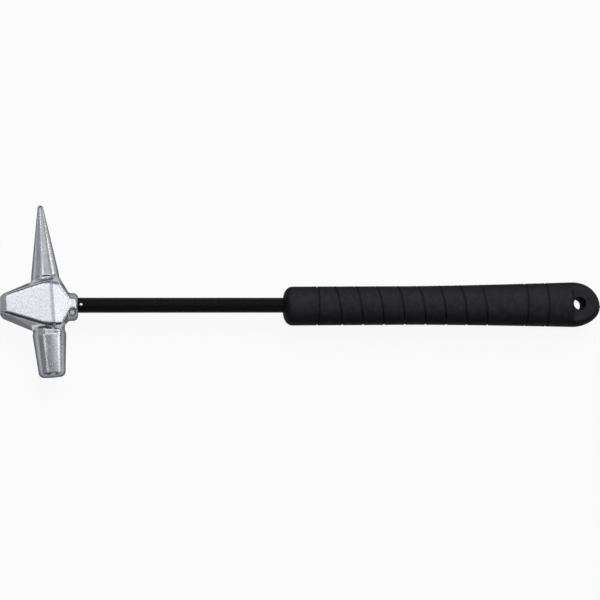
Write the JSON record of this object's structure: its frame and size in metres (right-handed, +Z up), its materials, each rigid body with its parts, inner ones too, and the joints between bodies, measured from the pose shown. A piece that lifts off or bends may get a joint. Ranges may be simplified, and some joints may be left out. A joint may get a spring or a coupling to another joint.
{
  "type": "inspection hammer",
  "caption": "Light inspection hammer with a forged pick-and-poll head, a slim black steel pipe shaft and a moulded rubber grip with wrap lines and a hang hole.",
  "frame": {"origin": "bottom centre of the hammer's box as it lies on its side on a flat surface", "axes": "+X along the shaft from head to grip, +Y the pick side, +Z up from the surface that it lies on"},
  "size_m": [0.4032, 0.114, 0.026],
  "materials": {
    "head_chrome": "satin chrome plate over a lightly textured forging",
    "shaft_paint": "semi-gloss black paint",
    "plug_steel": "plain turned steel",
    "pin_steel": "bright steel",
    "grip_rubber": "matt black moulded rubber"
  },
  "bodies": {
    "root": {"head": "head_chrome", "shaft_pipe": "shaft_paint", "expander_plug": "plug_steel", "stop_pin": "pin_steel", "grip": "grip_rubber"}
  },
  "joints": []
}
